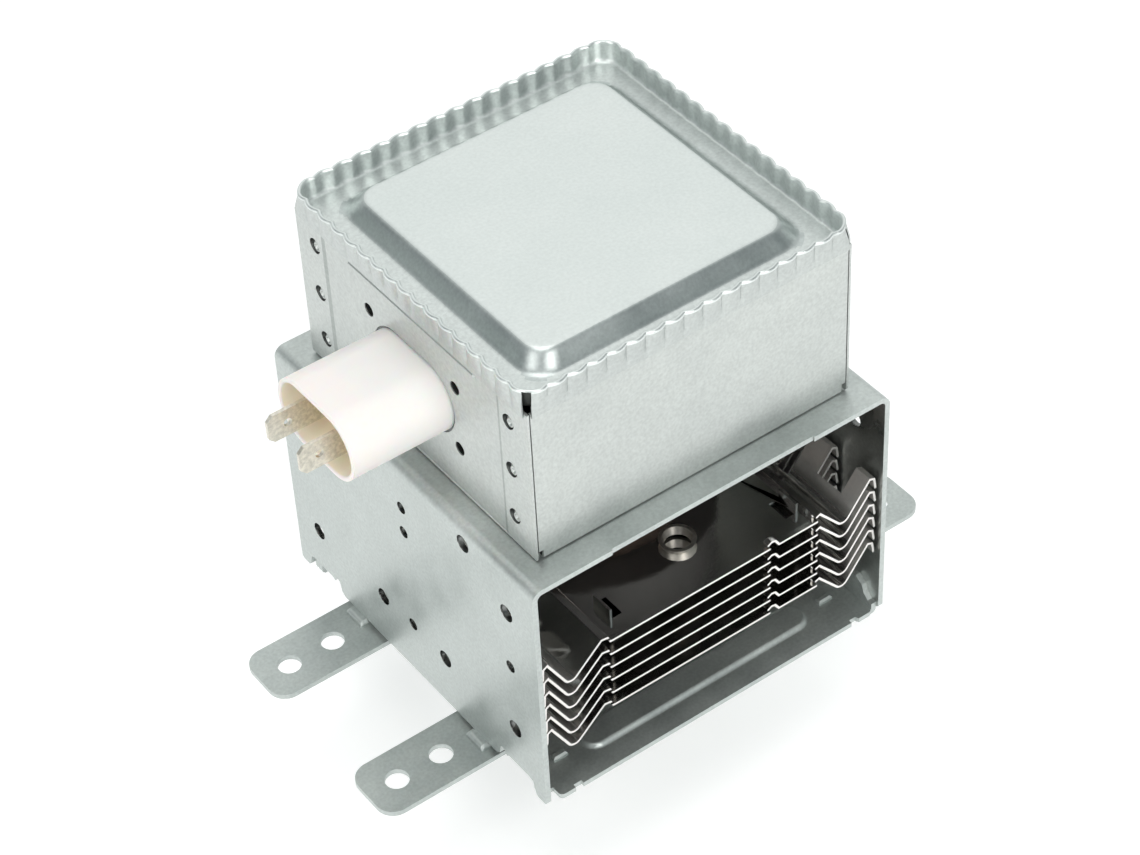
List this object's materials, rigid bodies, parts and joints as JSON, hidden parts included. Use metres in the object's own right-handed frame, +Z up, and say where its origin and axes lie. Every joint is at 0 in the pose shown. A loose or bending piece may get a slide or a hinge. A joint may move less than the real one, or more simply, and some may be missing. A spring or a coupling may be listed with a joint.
{
  "type": "microwave oven magnetron",
  "caption": "Magnetron tube in a bent steel yoke with zigzag cooling fins, an eared mounting plate, a crimped filter case on top and an oval capacitor with blade terminals.",
  "frame": {"origin": "centre of the mounting holes' pattern, on the underside of the mounting plate", "axes": "+Z up from the mounting plate through the tube to the filter case, -X towards the capacitor, -Y and +Y out of the yoke's two open ends"},
  "size_m": [0.1372, 0.087, 0.1312],
  "materials": {
    "alumina": "fired alumina",
    "amber_resin": "cast epoxy, amber",
    "copper": "oxygen-free copper",
    "enamelled_copper": "enamelled copper wire",
    "ferrite": "sintered hard ferrite, dark grey",
    "fin_aluminium": "mill-finish aluminium sheet with bright sheared edges",
    "iron": "pressed soft iron, plated",
    "lid_steel": "tin-plated sheet steel, bright satin",
    "mesh": "knitted metal wire",
    "stainless": "deep-drawn stainless steel",
    "tinned": "tinned steel strip",
    "tungsten": "drawn tungsten and molybdenum",
    "white_plastic": "moulded thermoplastic, near white",
    "zinc_steel": "zinc-plated sheet steel, satin, cloudy passivation"
  },
  "bodies": {
    "root": {"anode_block": "copper", "antenna_cap": "stainless", "antenna_lead": "copper", "capacitor_ceramic": "alumina", "capacitor_flange": "tinned", "capacitor_inner_tube": "white_plastic", "capacitor_outer_tube": "white_plastic", "capacitor_potting": "amber_resin", "cathode_centre_lead": "tungsten", "cathode_side_lead": "tungsten", "choke_coil_1": "enamelled_copper", "choke_coil_2": "enamelled_copper", "choke_core_1": "ferrite", "choke_core_2": "ferrite", "cooling_fin_1": "fin_aluminium", "cooling_fin_2": "fin_aluminium", "cooling_fin_3": "fin_aluminium", "cooling_fin_4": "fin_aluminium", "cooling_fin_5": "fin_aluminium", "cooling_fin_6": "fin_aluminium", "end_hat_lower": "tungsten", "end_hat_upper": "tungsten", "exhaust_tube": "copper", "filament": "tungsten", "filter_case": "zinc_steel", "filter_case_lid": "lid_steel", "gasket_ring": "mesh", "magnet_input": "ferrite", "magnet_output": "ferrite", "mounting_plate": "zinc_steel", "output_ceramic": "alumina", "pole_piece_input": "iron", "pole_piece_output": "iron", "sealing_cup_input": "iron", "sealing_cup_output": "iron", "stem_ceramic": "alumina", "stem_terminal_1": "tinned", "stem_terminal_2": "tinned", "strap_ring_inner": "copper", "strap_ring_outer": "copper", "terminal_blade_1": "tinned", "terminal_blade_2": "tinned", "yoke_frame": "zinc_steel"}
  },
  "joints": []
}
